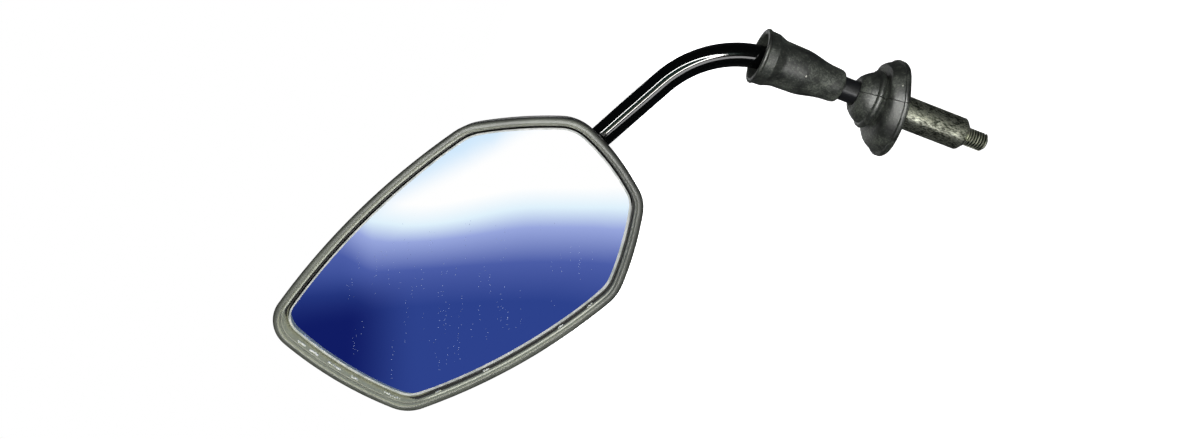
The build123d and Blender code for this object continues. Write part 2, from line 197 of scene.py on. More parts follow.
def bake(made, tree, **values):
    """Runs a geometry tree on an object and leaves it with the plain mesh that comes out."""
    modifier = made.modifiers.new(tree.name, "NODES")
    modifier.node_group = tree
    for item in tree.interface.items_tree:
        if item.in_out == "INPUT" and item.name in values:
            modifier[item.identifier] = values[item.name]
    graph = bpy.context.evaluated_depsgraph_get()
    mesh = bpy.data.meshes.new_from_object(made.evaluated_get(graph))
    made.modifiers.remove(modifier)
    made.data = mesh


# Zinc plate gone dull: rubbed bright flecks over grey oxide, drawn out along the bar, and a bare worn edge.
# Here and below, a noise's scale counts its patches in a metre: 1500 makes them about 0.7 mm wide.
zinc, tree, shader, place = surface("zinc plated steel, weathered")
drawn = node(tree, "ShaderNodeMapping", {"Vector": place, "Scale": (1.0, 1.0, 0.35)})
blotch = node(tree, "ShaderNodeTexNoise", {"Vector": drawn, "Scale": 1500.0, "Detail": 5.0, "Roughness": 0.7})
patch = node(tree, "ShaderNodeTexNoise", {"Vector": place, "Scale": 230.0, "Detail": 3.0})
mixed = node(tree, "ShaderNodeMath", {0: patch, 1: 0.5, 2: blotch}, operation="MULTIPLY_ADD")
spread = node(tree, "ShaderNodeMapRange", {"Value": mixed, "From Min": 0.66, "From Max": 0.90})
tint = node(tree, "ShaderNodeMix", {"Factor": spread, 6: ZINC_DULL, 7: ZINC_BRIGHT}, **RGBA)
axes = node(tree, "ShaderNodeSeparateXYZ", {0: place})
flat = node(tree, "ShaderNodeCombineXYZ", {"X": axes.outputs["X"], "Y": axes.outputs["Y"]})
radius = node(tree, "ShaderNodeVectorMath", {0: flat}, operation="LENGTH")
outer = node(tree, "ShaderNodeMath", {0: radius, 1: WORN_FROM_R}, operation="GREATER_THAN")
height = axes.outputs["Z"]
low = node(tree, "ShaderNodeMapRange", {"Value": height, "From Min": WORN_NONE, "From Max": WORN_FULL})
worn = node(tree, "ShaderNodeMath", {0: outer, 1: low}, operation="MULTIPLY")
# Oil and dirt sit in the roots of the thread, and its crests are rubbed bright; the dark roots are also
# painted shade and the pale crests a painted highlight, so that the ridges show.
groove = node(tree, "ShaderNodeMapRange", {"Value": radius, "From Min": ROOT_GRIME_SHADE_R, "From Max": CREST_RUBBED_HIGHLIGHT_R})
crests_rubbed_and_highlit = node(tree, "ShaderNodeMix", {"Factor": groove, 6: THREAD_ROOT_GRIME_AND_SHADE, 7: THREAD_CREST_RUBBED_AND_HIGHLIGHT}, **RGBA)
stud = node(tree, "ShaderNodeMath", {0: height, 1: STUD_FROM}, operation="LESS_THAN")
tint = node(tree, "ShaderNodeMix", {"Factor": stud, 6: tint, 7: crests_rubbed_and_highlit}, **RGBA)
bare = node(tree, "ShaderNodeMix", {"Factor": worn, 6: tint, 7: ZINC_WORN}, **RGBA)
rough = node(tree, "ShaderNodeMapRange", {"Value": spread, "To Min": 0.48, "To Max": 0.30})
pits = node(tree, "ShaderNodeBump", {"Height": blotch, "Strength": 0.35, "Distance": 0.0002})
feed(shader, {"Base Color": bare, "Roughness": rough, "Normal": pits, "Metallic": 1.0})

# The rolled thread is a trapezoid swept along a helix; its ends run out to nothing.
kinds = dict.fromkeys(("Pitch", "Turns", "Root", "Crest", "Start"), "Float")
tree, given = geometry_tree("rolled_thread", **kinds)
middle = node(tree, "ShaderNodeMath", {0: given["Root"], 1: given["Crest"]}, operation="ADD")
middle = node(tree, "ShaderNodeMath", {0: middle, 1: 0.5}, operation="MULTIPLY")
depth = node(tree, "ShaderNodeMath", {0: given["Crest"], 1: given["Root"]}, operation="SUBTRACT")
rise = node(tree, "ShaderNodeMath", {0: given["Pitch"], 1: given["Turns"]}, operation="MULTIPLY")
helix = {"Rotations": given["Turns"], "Start Radius": middle, "End Radius": middle, "Height": rise}
helix = node(tree, "GeometryNodeCurveSpiral", {**helix, "Resolution": THREAD_STEPS})
along = node(tree, "GeometryNodeSplineParameter").outputs["Factor"]
head_end = node(tree, "ShaderNodeMapRange", {"Value": along, "From Max": 0.09, "To Min": 0.05})
tail_end = {"Value": along, "From Min": 0.94, "From Max": 1.0, "To Min": 1.0, "To Max": 0.3}
tail_end = node(tree, "ShaderNodeMapRange", tail_end)
fade = node(tree, "ShaderNodeMath", {0: head_end, 1: tail_end}, operation="MULTIPLY")
upright = node(tree, "GeometryNodeSetCurveNormal", {"Curve": helix}, mode="Z_UP")
sized = node(tree, "GeometryNodeSetCurveRadius", {"Curve": upright, "Radius": fade})
foot = node(tree, "ShaderNodeMath", {0: given["Pitch"], 1: RIDGE_FOOT}, operation="MULTIPLY")
crest = node(tree, "ShaderNodeMath", {0: given["Pitch"], 1: RIDGE_CREST}, operation="MULTIPLY")
ridge = {"Height": depth, "Bottom Width": foot, "Top Width": crest, "Offset": 0.0}
ridge = node(tree, "GeometryNodeCurvePrimitiveQuadrilateral", ridge, mode="TRAPEZOID")
laid = node(tree, "GeometryNodeTransform", {"Geometry": ridge, "Rotation": (0.0, 0.0, math.pi / 2)})
swept = node(tree, "GeometryNodeCurveToMesh", {"Curve": sized, "Profile Curve": laid, "Fill Caps": True})
lift = node(tree, "ShaderNodeCombineXYZ", {"Z": given["Start"]})
lifted = node(tree, "GeometryNodeTransform", {"Geometry": swept, "Translation": lift})
joined = node(tree, "GeometryNodeJoinGeometry", {0: given["Geometry"]})
feed(joined, {0: lifted})
close_tree(tree, given, joined)

profile = (
    (0.0, STUD_TIP),
    (THREAD_ROOT_R - END_CHAMFER, STUD_TIP),
    (THREAD_ROOT_R, STUD_TIP + END_CHAMFER),
    (THREAD_ROOT_R, RUNOUT_LOW),
    (THREAD_ROOT_R + RUNOUT_STEP, RUNOUT_HIGH),
    (THREAD_ROOT_R + RUNOUT_STEP, 0.0),
    (PIN_R - PIN_CHAMFER - PIN_EASE, 0.0),
    (PIN_R - PIN_CHAMFER, PIN_EASE / 2),
    (PIN_R - PIN_EASE, PIN_CHAMFER - PIN_EASE),
    (PIN_R, PIN_CHAMFER + PIN_EASE),
    (PIN_R, PIN_SHOULDER),
    (PIN_SEAT_R, PIN_SHOULDER),
    (PIN_SEAT_R, PIN_TOP - END_CHAMFER),
    (PIN_SEAT_R - END_CHAMFER, PIN_TOP),
    (PIN_BORE_R, PIN_TOP),
    (PIN_BORE_R, PIN_BORE_FLOOR),
    (0.0, PIN_BORE_FLOOR - PIN_BORE_CONE),
)
pin = lathe("pin_with_thread", profile, PIN_STEPS)
bake(
    pin, tree, Pitch=THREAD_PITCH, Turns=THREAD_TURNS, Root=THREAD_ROOT_R - THREAD_SINK,
    Crest=THREAD_CREST_R, Start=STUD_TIP + THREAD_LEAD, Material=zinc,
)
pin.data.set_sharp_from_angle(angle=SHARP)
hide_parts("mount_pin")
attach(pin, "mount")


# Adapter
# Turned steel neck with a hexagon and a tapped hole at its top, dipped in satin black paint.
# Its spigot is pressed into the pin, and the stem screws into it under the boot.
ADAPTER_BLACK = "#17181a"


def coat(made, finish):
    """Gives an object one material all over."""
    made.data.materials.clear()
    made.data.materials.append(finish)


# Dipped paint over turned steel: dark, half glossy, a little uneven where it ran.
satin_black, tree, shader, place = surface("satin black paint, dipped")
run = node(tree, "ShaderNodeTexNoise", {"Vector": place, "Scale": 220.0, "Detail": 2.0})
rough = node(tree, "ShaderNodeMapRange", {"Value": run, "To Min": 0.22, "To Max": 0.48})
feed(shader, {"Roughness": rough, "Base Color": ADAPTER_BLACK, "IOR": 1.5})
coat(nodes["adapter"], satin_black)


# Grommet
# Moulded rubber seal: a dome on a bell skirt, slit along one side so that it opens over the neck.
# It is stretched over the neck and the top of the pin, its skirt sits askew, and weather has greyed it.
GROMMET_SECTION = (
    (0.0051, 0.0517), (0.0059, 0.0525), (0.0070, 0.0523), (0.0080, 0.0516), (0.0091, 0.0504),
    (0.0101, 0.0491), (0.0107, 0.0481), (0.0110, 0.0474), (0.0112, 0.0468), (0.0118, 0.0465),
    (0.0124, 0.0460), (0.0127, 0.0452), (0.0125, 0.0444), (0.0119, 0.0439), (0.0114, 0.0435),
    (0.0113, 0.0431), (0.0119, 0.0428), (0.0132, 0.0426), (0.0148, 0.0423), (0.0162, 0.0416),
    (0.0172, 0.0404), (0.0181, 0.0388), (0.0187, 0.0376), (0.0190, 0.0370), (0.0196, 0.0368),
    (0.0199, 0.0363), (0.0199, 0.0351), (0.0196, 0.0347), (0.0183, 0.0347), (0.0176, 0.0350),
    (0.0171, 0.0362), (0.0095, 0.0362), (0.0090, 0.0346), (0.0064, 0.0346), (0.0064, 0.0400),
    (0.0051, 0.0400),
)
SLIT_TURN = math.radians(-77.0)
SLIT_HALF = 0.00016
SKIRT_FROM = 0.0116
SKIRT_FULL = 0.0165
SKIRT_LEAN = 0.150
SKIRT_DROOP = 0.0014
SKIRT_LIFT = 0.0003
SKIRT_WAVE = 0.00014
SKIRT_RIPPLE = 0.00016
GROMMET_STEPS = 168
GROMMET_SHARP = math.radians(40)
RUBBER_DARK = "#0f1110"
RUBBER_GREY = "#3d413b"
RUBBER_DUST = "#747a6e"


def skirt_shift(radius, turn):
    """How far the leaning, wavy skirt lies inward and upward of the round one at a radius and turn."""
    share = min(max((radius - SKIRT_FROM) / (SKIRT_FULL - SKIRT_FROM), 0.0), 1.0)
    share = share * share * (3.0 - 2.0 * share)
    wave = SKIRT_WAVE * (2.0 + math.sin(3.0 * turn + 0.6) + math.sin(7.0 * turn + 2.0))
    inward = share * (wave - SKIRT_DROOP * max(-math.cos(turn), 0.0))
    lean = radius * SKIRT_LEAN * math.cos(turn)
    upward = share * (lean + SKIRT_LIFT + SKIRT_RIPPLE * math.sin(5.0 * turn))
    return inward, upward


points, faces = [], []
for i in range(GROMMET_STEPS + 1):
    for radius, height in GROMMET_SECTION:
        spare = SLIT_HALF / radius
        turn = SLIT_TURN + spare + (2.0 * math.pi - 2.0 * spare) * i / GROMMET_STEPS
        inward, upward = skirt_shift(radius, turn)
        reach = radius - inward
        points.append((reach * math.cos(turn), reach * math.sin(turn), height + upward))
count = len(GROMMET_SECTION)
for i in range(GROMMET_STEPS):
    for j in range(count):
        k = (j + 1) % count
        faces.append((i * count + j, i * count + k, (i + 1) * count + k, (i + 1) * count + j))
faces.append(tuple(range(count - 1, -1, -1)))
faces.append(tuple(GROMMET_STEPS * count + j for j in range(count)))
grommet = put_mesh("split_grommet", points, [], faces)
mesh = grommet.data
shape = bmesh.new()
shape.from_mesh(mesh)
bmesh.ops.recalc_face_normals(shape, faces=shape.faces)
shape.to_mesh(mesh)
shape.free()
mesh.shade_smooth()
mesh.set_sharp_from_angle(angle=GROMMET_SHARP)

# Vulcanised rubber: dull and dark, greyed by bloom in soft patches and rubbed flecks, with a fine tooth.
rubber, tree, shader, place = surface("moulded rubber, greyed")
bloom = node(tree, "ShaderNodeTexNoise", {"Vector": place, "Scale": 95.0, "Detail": 4.0, "Roughness": 0.62})
scuff = node(tree, "ShaderNodeTexNoise", {"Vector": place, "Scale": 700.0, "Detail": 3.0, "Roughness": 0.7})
both = node(tree, "ShaderNodeMath", {0: scuff, 1: 0.45, 2: bloom}, operation="MULTIPLY_ADD")
spread = node(tree, "ShaderNodeMapRange", {"Value": both, "From Min": 0.52, "From Max": 0.92})
greyed = node(tree, "ShaderNodeMix", {"Factor": spread, 6: RUBBER_DARK, 7: RUBBER_GREY}, **RGBA)
fine = node(tree, "ShaderNodeTexNoise", {"Vector": place, "Scale": 1300.0, "Detail": 3.0, "Roughness": 0.65})
powder = node(tree, "ShaderNodeMath", {0: bloom, 1: 0.8, 2: fine}, operation="MULTIPLY_ADD")
dusty = node(tree, "ShaderNodeMapRange", {"Value": powder, "From Min": 0.90, "From Max": 1.30})
tint = node(tree, "ShaderNodeMix", {"Factor": dusty, 6: greyed, 7: RUBBER_DUST}, **RGBA)
rough = node(tree, "ShaderNodeMapRange", {"Value": spread, "To Min": 0.36, "To Max": 0.52})
# The tooth is near 0.1 mm; it is drawn at about 0.6 mm so that the picture can hold it.
tooth = node(tree, "ShaderNodeTexNoise", {"Vector": place, "Scale": 1700.0, "Detail": 2.0})
grain = node(tree, "ShaderNodeBump", {"Height": tooth, "Strength": 0.3, "Distance": 0.0002})
feed(shader, {"Base Color": tint, "Roughness": rough, "Normal": grain, "IOR": 1.52})
coat(grommet, rubber)
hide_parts("grommet")
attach(grommet, "mount")


# Boot
# Moulded rubber sleeve, narrow on the neck and open around the stem, that hides the lock nut.
# It grips the neck by its own stretch and slides down for a spanner.
coat(nodes["boot"], rubber)


# Paint flecks
# Two dried white specks, one on the side of the boot and one near the edge of the grommet's skirt.
# They are thin drops that stuck where they fell.
FLECK_WHITE = "#e9ebe4"
FLECK_YELLOWED = "#c9c6b2"
FLECK_R = 0.00030
FLECK_STRETCH = Vector((1.3, 1.0, 0.4))
FLECK_RAGGED = 0.25
BOOT_SPOT = Vector((-0.00060, -0.00948, 0.07734))
BOOT_OUT = Vector((-0.06, -0.99, -0.15))
SKIRT_SPOT = Vector((0.01012, -0.01541, 0.03822))
SKIRT_OUT = Vector((0.46, -0.70, 0.55))
SKIRT_SPOT_R = 0.0185
SKIRT_SPOT_TURN = math.radians(-56.705)


def mottled(name, scale, detail, first, second, **finish):
    """A new material in two colours that one noise mixes."""
    made, tree, shader, place = surface(name)
    patches = node(tree, "ShaderNodeTexNoise", {"Vector": place, "Scale": scale, "Detail": detail})
    tint = node(tree, "ShaderNodeMix", {"Factor": patches, 6: first, 7: second}, **RGBA)
    feed(shader, {"Base Color": tint, **finish})
    return made


# Dried emulsion paint: chalky white with no shine, a little yellowed in places.
chalk = mottled("white emulsion paint, dried", 2500.0, 2.0, FLECK_WHITE, FLECK_YELLOWED, Roughness=0.8)
upward = skirt_shift(SKIRT_SPOT_R, SKIRT_SPOT_TURN)[1]
for name, body, spot, out in (
    ("boot_fleck", "boot", BOOT_SPOT, BOOT_OUT),
    ("grommet_fleck", "mount", SKIRT_SPOT + Vector((0.0, 0.0, upward)), SKIRT_OUT),
):
    shape = bmesh.new()
    bmesh.ops.create_icosphere(shape, subdivisions=2, radius=FLECK_R)
    for vert in shape.verts:
        bump = 1.0 + FLECK_RAGGED * math.sin(9000.0 * vert.co.x + 2.0) * math.sin(8000.0 * vert.co.y)
        vert.co = vert.co * FLECK_STRETCH * Vector((bump, bump, 1.0))
    turn = out.to_track_quat("Z", "Y").to_matrix().to_4x4()
    shape.transform(Matrix.Translation(spot) @ turn)
    mesh = bpy.data.meshes.new(name)
    shape.to_mesh(mesh)
    shape.free()
    mesh.shade_smooth()
    fleck = put(name, mesh)
    coat(fleck, chalk)
    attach(fleck, body)


# Lock nut
# Thin hexagon nut of zinc plated steel that jams the stem's thread against the adapter.
# The boot covers it.
coat(nodes["lock_nut"], zinc)


# Stem
# Round steel bar, 10 mm, bent once and stove enamelled gloss black.
# Its thread goes into the adapter, and its turned tip carries the ball inside the head.
STEM_BLACK = "#050606"

# Stove enamel: deep black under a smooth clear gloss that shows lamps as sharp lines.
enamel, tree, shader, place = surface("gloss black enamel, stoved")
peel = node(tree, "ShaderNodeTexNoise", {"Vector": place, "Scale": 260.0, "Detail": 1.0})
wave = node(tree, "ShaderNodeBump", {"Height": peel, "Strength": 0.06, "Distance": 0.0003})
feed(shader, {"Normal": wave, "Base Color": STEM_BLACK, "Roughness": 0.07, "IOR": 1.46})
coat(nodes["stem"], enamel)


# Ball
# Steel ball with two flats, bored for the stem's tip and turned bright.
# It is held between the two cups.
BALL_STEEL = "#b4b5b2"

# Turned steel with a film of grease: smooth metal, duller where the film is thick.
turned, tree, shader, place = surface("turned steel, greased")
film = node(tree, "ShaderNodeTexNoise", {"Vector": place, "Scale": 320.0, "Detail": 3.0})
rough = node(tree, "ShaderNodeMapRange", {"Value": film, "To Min": 0.14, "To Max": 0.36})
feed(shader, {"Roughness": rough, "Base Color": BALL_STEEL, "Metallic": 1.0})
coat(nodes["ball"], turned)


# Ball seats
# Two moulded acetal cups that clamp the ball from both sides.
# They drop into the round pocket of the housing.
ACETAL_WHITE = "#dcdad1"
ACETAL_GREASED = "#bdb9a6"

# Acetal: milky white and waxy, yellowed in clouds by grease.
acetal = mottled("acetal, moulded", 140.0, 3.0, ACETAL_WHITE, ACETAL_GREASED, Roughness=0.38, IOR=1.48)
for name in ("ball_seat_rear", "ball_seat_front"):
    coat(nodes[name], acetal)


# Disc spring, clamp plate and screws
# Coned spring washer, pressed plate with three ears and three pan-head screws, all zinc plated steel.
# The screws pull the plate down on the posts, and the spring keeps the cups tight.
for name in ("disc_spring", "clamp_plate", "clamp_screws"):
    coat(nodes[name], zinc)


# Housing
# Black plastic shell with a rounded and stepped lip, injection moulded in a spark-grained tool.
# It carries the ball joint inside and the glass in its mouth.
STEM_CORNER = Vector((0.0, 0.0, 0.1172))
STEM_BEND = Matrix.Rotation(math.radians(-62), 3, "Y")
HEAD_TURN = Matrix.Rotation(math.radians(5), 3, "Z")
HEAD_REACH = 0.0900
HEAD_U = STEM_BEND @ HEAD_TURN @ Vector((0.0, 0.0, 1.0))
HEAD_V = STEM_BEND @ HEAD_TURN @ Vector((-1.0, 0.0, 0.0))
HEAD_N = STEM_BEND @ HEAD_TURN @ Vector((0.0, -1.0, 0.0))
HEAD_MID = STEM_CORNER + HEAD_U * HEAD_REACH
LIP_TOP = 0.0260
LIP_DEPTH = 0.0080
# Two ways across the mouth: to the lower end of the head, and to its short side below the stem.
END_WAY = HEAD_U * 0.966 + HEAD_V * 0.259
END_FROM = 0.100
SHELF_END = 0.104
SHORT_WAY = HEAD_U * -0.753 + HEAD_V * 0.658
SHORT_FROM = 0.012
SHORT_FULL = 0.028
SHORT_SHARE = 0.35
SHELF_DEPTH = 0.0020
SHELF_FROM = 0.004
SHELF_FULL = 0.016
SHADE_GRIME_FROM = LIP_TOP - 0.0043
SHADE_GRIME_FULL = LIP_TOP - 0.0047
SHADE_GRIME_DROP = 0.0050
GLASS_MID_U = 0.047
GLASS_MID_V = 0.004
MOUTH_LEVEL = 0.022
SMOOTH = {"interpolation_type": "SMOOTHSTEP"}
SHELL_DARK = "#1c1d1c"
SHELL_WORN = "#40423e"
LIP_DARK = "#4c4f47"
LIP_WORN = "#6c7065"
LIP_OLIVE = "#a9ab92"
LIP_GRIME_AND_SHADE = "#121311"
SHELF_PALE = "#c3c6b8"


def facet_normal(tree):
    """A face's flat normal in the object's own space, so that it holds when the head turns."""
    facet = node(tree, "ShaderNodeNewGeometry").outputs["True Normal"]
    spaces = {"vector_type": "NORMAL", "convert_from": "WORLD", "convert_to": "OBJECT"}
    return node(tree, "ShaderNodeVectorTransform", {0: facet}, **spaces)


# Grained plastic: charcoal and matt with a pebbled skin; sun and dust have greyed the lip, and its flanks
# that turn away from the front keep the dark shell colour as painted shade.
grained, tree, shader, place = surface("black plastic, grained and moulded")
dust = node(tree, "ShaderNodeTexNoise", {"Vector": place, "Scale": 70.0, "Detail": 4.0, "Roughness": 0.6})
speckle = node(tree, "ShaderNodeTexNoise", {"Vector": place, "Scale": 1300.0, "Detail": 2.0})
both = node(tree, "ShaderNodeMath", {0: speckle, 1: 0.15, 2: dust}, operation="MULTIPLY_ADD")
spread = node(tree, "ShaderNodeMapRange", {"Value": both, "From Min": 0.40, "From Max": 0.76})
faint = node(tree, "ShaderNodeMapRange", {"Value": spread, "To Min": 0.20, "To Max": 0.65})
shell_tint = node(tree, "ShaderNodeMix", {"Factor": faint, 6: SHELL_DARK, 7: SHELL_WORN}, **RGBA)
lip_tint = node(tree, "ShaderNodeMix", {"Factor": spread, 6: LIP_DARK, 7: LIP_WORN}, **RGBA)
offset = node(tree, "ShaderNodeVectorMath", {0: place, 1: HEAD_MID}, operation="SUBTRACT")
rise, short, toward, outward = [
    node(tree, "ShaderNodeVectorMath", {0: offset, 1: axis}, operation="DOT_PRODUCT")
    for axis in (HEAD_N, SHORT_WAY, END_WAY, HEAD_U)
]
normal = place.node.outputs["Normal"]
front = node(tree, "ShaderNodeVectorMath", {0: normal, 1: HEAD_N}, operation="DOT_PRODUCT")
facet = facet_normal(tree)
# Painted shade: the lip is grey only where it faces the front, and darkens to the shell colour on its flanks.
lip_grey_with_painted_shade = node(tree, "ShaderNodeMapRange", {"Value": front, "From Min": 0.35, "From Max": 0.95}, **SMOOTH)
high = node(tree, "ShaderNodeMath", {0: rise, 1: LIP_TOP - LIP_DEPTH}, operation="GREATER_THAN")
lip_grey_with_painted_shade = node(tree, "ShaderNodeMath", {0: lip_grey_with_painted_shade, 1: high}, operation="MULTIPLY")
# The lip's grey and the olive of its inner walls fade out on the short side below the stem.
less = {"Value": short, "From Min": SHORT_FROM, "From Max": SHORT_FULL, "To Min": 1.0, "To Max": SHORT_SHARE}
less = node(tree, "ShaderNodeMapRange", less, **SMOOTH)
lip_grey_with_painted_shade = node(tree, "ShaderNodeMath", {0: lip_grey_with_painted_shade, 1: less}, operation="MULTIPLY")
greyed = node(tree, "ShaderNodeMix", {"Factor": lip_grey_with_painted_shade, 6: shell_tint, 7: lip_tint}, **RGBA)
# Olive dust lies on the inner walls; below the step they turn black, which is grime and painted shade of the
# gap round the glass.
middle = HEAD_MID + HEAD_U * GLASS_MID_U + HEAD_V * GLASS_MID_V + HEAD_N * MOUTH_LEVEL
reach = node(tree, "ShaderNodeVectorMath", {0: middle, 1: place}, operation="SUBTRACT")
reach = node(tree, "ShaderNodeVectorMath", {0: reach}, operation="NORMALIZE")
inner = node(tree, "ShaderNodeVectorMath", {0: facet, 1: reach}, operation="DOT_PRODUCT")
inner = node(tree, "ShaderNodeMapRange", {"Value": inner, "From Min": 0.25, "From Max": 0.6})
inner = node(tree, "ShaderNodeMath", {0: inner, 1: less}, operation="MULTIPLY")
end = node(tree, "ShaderNodeVectorMath", {0: facet, 1: HEAD_U}, operation="DOT_PRODUCT")
end = node(tree, "ShaderNodeMapRange", {"Value": end, "From Min": -0.45, "From Max": -0.80})
# Painted shade: the wall below the step is black, starting deeper on the wall at the lower end.
start = node(tree, "ShaderNodeMath", {0: end, 1: SHADE_GRIME_DROP, 2: rise}, operation="MULTIPLY_ADD")
grime_and_shade = node(tree, "ShaderNodeMapRange", {"Value": start, "From Min": SHADE_GRIME_FROM, "From Max": SHADE_GRIME_FULL})
wall_tint = node(tree, "ShaderNodeMix", {"Factor": grime_and_shade, 6: LIP_OLIVE, 7: LIP_GRIME_AND_SHADE}, **RGBA)
walled = node(tree, "ShaderNodeMix", {"Factor": inner, 6: greyed, 7: wall_tint}, **RGBA)
rough = node(tree, "ShaderNodeMapRange", {"Value": inner, "To Min": 0.48, "To Max": 0.95})
# Pale dust has settled on the narrow step along the two long sides.
level = node(tree, "ShaderNodeMath", {0: front, 1: 0.8}, operation="GREATER_THAN")
below = node(tree, "ShaderNodeMath", {0: rise, 1: LIP_TOP - SHELF_DEPTH}, operation="LESS_THAN")
before = node(tree, "ShaderNodeMapRange", {"Value": toward, "From Min": SHELF_END, "From Max": END_FROM})
after = node(tree, "ShaderNodeMapRange", {"Value": outward, "From Min": SHELF_FROM, "From Max": SHELF_FULL})
shelf = level
for mask in (below, after, high, before):
    shelf = node(tree, "ShaderNodeMath", {0: shelf, 1: mask}, operation="MULTIPLY")
tint = node(tree, "ShaderNodeMix", {"Factor": shelf, 6: walled, 7: SHELF_PALE}, **RGBA)
# The pebble is near 0.2 mm; it is drawn at about 0.6 mm so that the picture can hold it.
pebble = node(tree, "ShaderNodeTexNoise", {"Vector": place, "Scale": 1500.0, "Detail": 2.0})
grain = node(tree, "ShaderNodeBump", {"Height": pebble, "Strength": 0.05, "Distance": 0.0002})
feed(shader, {"Base Color": tint, "Roughness": rough, "Normal": grain, "IOR": 1.53})
coat(nodes["housing"], grained)


# Glass carrier
# Moulded plastic tray with a thin upright rim, pressed onto the ledge of the housing.
# Its rim ends below the glass face, in the dark gap round the glass.
CARRIER_BLACK_AND_SHADE = "#050505"
CARRIER_GREY_AND_SHADE = "#0f100f"
CARRIER_DUST = "#7b7d66"
DUST_FULL = 0.103

# Smooth moulded plastic: black and dull, with faint flow marks, under olive dust at the lower end. The black
# is darker than the plastic itself, as painted shade of the gap round the glass.
smooth_black_with_painted_shade, tree, shader, place = surface("black plastic, smooth and moulded, with painted shade")
flow = node(tree, "ShaderNodeTexNoise", {"Vector": place, "Scale": 110.0, "Detail": 3.0, "Distortion": 1.5})
plain = node(tree, "ShaderNodeMix", {"Factor": flow, 6: CARRIER_BLACK_AND_SHADE, 7: CARRIER_GREY_AND_SHADE}, **RGBA)
offset = node(tree, "ShaderNodeVectorMath", {0: place, 1: HEAD_MID}, operation="SUBTRACT")
toward = node(tree, "ShaderNodeVectorMath", {0: offset, 1: END_WAY}, operation="DOT_PRODUCT")
dusty = node(tree, "ShaderNodeMapRange", {"Value": toward, "From Min": END_FROM, "From Max": DUST_FULL})
tint = node(tree, "ShaderNodeMix", {"Factor": dusty, 6: plain, 7: CARRIER_DUST}, **RGBA)
feed(shader, {"Base Color": tint, "Roughness": 0.65, "IOR": 1.5})
coat(nodes["glass_carrier"], smooth_black_with_painted_shade)


# Glass pad
# Sheet of closed-cell foam with adhesive on both faces that holds the glass on its carrier.
# It is cut a little smaller than the glass, so it doesn't show.
FOAM_GREY = "#3a3b3d"
FOAM_PALE = "#565759"

# Foam: dull grey with no shine, open pores on the cut face.
foam, tree, shader, place = surface("closed-cell foam, cut")
pores = node(tree, "ShaderNodeTexVoronoi", {"Vector": place, "Scale": 1400.0}).outputs["Distance"]
tint = node(tree, "ShaderNodeMix", {"Factor": pores, 6: FOAM_GREY, 7: FOAM_PALE}, **RGBA)
feed(shader, {"Base Color": tint, "Roughness": 0.9})
coat(nodes["glass_pad"], foam)


# Glass
# Convex mirror: bent glass with a blue-tinted metal film, its front edge ground to a bevel.
# The foam pad sticks it to the carrier.
MIRROR_TINT = "#a9bbea"
BEVEL_PALE = "#f7f9f6"
BEVEL_STAINED = "#ccd3cf"
BEVEL_PAINTED_SHADE = "#070808"
GLASS_TOP = 0.0205
GLASS_R = 1.2
FACE_FACING = 0.97
FOOT_FROM = GLASS_R - 0.00030
FOOT_FULL = GLASS_R - 0.00038
# The way up in the picture, along the head's two axes.
UP_U = -0.66
UP_V = -0.75

# Metal film behind glass: a clean reflection tinted blue; the ground bevel is matt and pale.
# Its foot is painted dark on the high sides, as shade.
mirror, tree, shader, place = surface("blue mirror glass, bent")
facet = facet_normal(tree)
facing = node(tree, "ShaderNodeVectorMath", {0: facet, 1: HEAD_N}, operation="DOT_PRODUCT")
front = node(tree, "ShaderNodeMath", {0: facing, 1: FACE_FACING}, operation="GREATER_THAN")
stain = node(tree, "ShaderNodeTexNoise", {"Vector": place, "Scale": 260.0, "Detail": 3.0})
clean = node(tree, "ShaderNodeMapRange", {"Value": stain, "From Min": 0.35, "From Max": 0.60})
ground = node(tree, "ShaderNodeMix", {"Factor": clean, 6: BEVEL_STAINED, 7: BEVEL_PALE}, **RGBA)
ball_mid = HEAD_MID + HEAD_U * GLASS_MID_U + HEAD_V * GLASS_MID_V + HEAD_N * (GLASS_TOP - GLASS_R)
span = node(tree, "ShaderNodeVectorMath", {0: place, 1: ball_mid}, operation="DISTANCE")
foot = node(tree, "ShaderNodeMapRange", {"Value": span, "From Min": FOOT_FROM, "From Max": FOOT_FULL})
# Painted shade: the bevel's foot is dark on the sides that face up in the picture.
high_way = (HEAD_U * UP_U + HEAD_V * UP_V).normalized()
highness = node(tree, "ShaderNodeVectorMath", {0: facet, 1: high_way}, operation="DOT_PRODUCT")
shaded_foot = node(tree, "ShaderNodeMapRange", {"Value": highness, "From Min": -0.10, "From Max": 0.05})
shaded_foot = node(tree, "ShaderNodeMath", {0: shaded_foot, 1: foot}, operation="MULTIPLY")
ground = node(tree, "ShaderNodeMix", {"Factor": shaded_foot, 6: ground, 7: BEVEL_PAINTED_SHADE}, **RGBA)
tint = node(tree, "ShaderNodeMix", {"Factor": front, 6: ground, 7: MIRROR_TINT}, **RGBA)
rough = node(tree, "ShaderNodeMapRange", {"Value": front, "To Min": 0.45, "To Max": 0.012})
feed(shader, {"Base Color": tint, "Roughness": rough, "Metallic": front})
coat(nodes["glass"], mirror)


# Dust on the glass
# Dried rain has left short rows of pale specks down the lower half of the mirror.
# Each speck is a flat crumb that lies on the curved face.
DUST_PALE = "#b9c6e2"
DUST_BLUE_REFLECTION = "#5a6fb0"
ROWS = 120
ROW_SPECKS = 6.0
ROW_SPACING = 0.0017
SPECK_R = 0.00017
SPECK_JOG = 0.0006
SPECK_LOSS = 0.52
SPECK_LEAST = (0.5, 0.5, 0.25)
SPECK_MOST = (1.2, 1.2, 0.4)
ROWS_U = (0.004, 0.110)
ROWS_V = (-0.026, 0.046)
ROWS_TOP = -0.013
# The rows end at two slanting lines, one along the long side and one across the end.
SIDE_SLANT = 0.20
SIDE_LIMIT = 0.0455
END_SLANT = 0.28
END_LIMIT = 0.108

